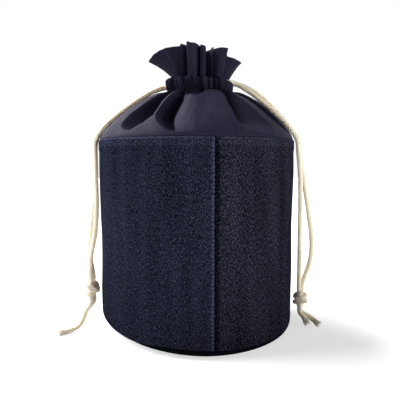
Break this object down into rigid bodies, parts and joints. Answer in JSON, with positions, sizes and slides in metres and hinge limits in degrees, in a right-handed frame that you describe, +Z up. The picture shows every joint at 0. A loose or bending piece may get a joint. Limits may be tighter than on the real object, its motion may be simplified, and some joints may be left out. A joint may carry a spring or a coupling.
{
  "type": "toiletry bag",
  "caption": "Round drawstring toiletry bag in dark denim, with a gathered navy cotton collar drawn shut on knotted natural cotton drawcords.",
  "frame": {"origin": "middle of the base, on the floor", "axes": "+Z up through the neck, -Y to the front with the panel seam, +X to the right of the front"},
  "size_m": [0.242, 0.181, 0.2545],
  "materials": {
    "denim_left": "dark indigo denim",
    "denim_right": "dark indigo denim with a plain twill",
    "denim_base": "black denim",
    "collar_cotton": "navy cotton with a slight sheen",
    "cord_cotton": "natural cotton cord"
  },
  "bodies": {
    "root": {"denim_panel_left": "denim_left", "denim_panel_right": "denim_right", "base_panel": "denim_base", "collar_front": "collar_cotton", "collar_back": "collar_cotton", "drawcord_left": "cord_cotton", "drawcord_left_knot": "cord_cotton", "drawcord_left_tail_front": "cord_cotton", "drawcord_left_tail_back": "cord_cotton", "drawcord_right": "cord_cotton", "drawcord_right_knot": "cord_cotton", "drawcord_right_tail_front": "cord_cotton", "drawcord_right_tail_back": "cord_cotton"}
  },
  "joints": []
}
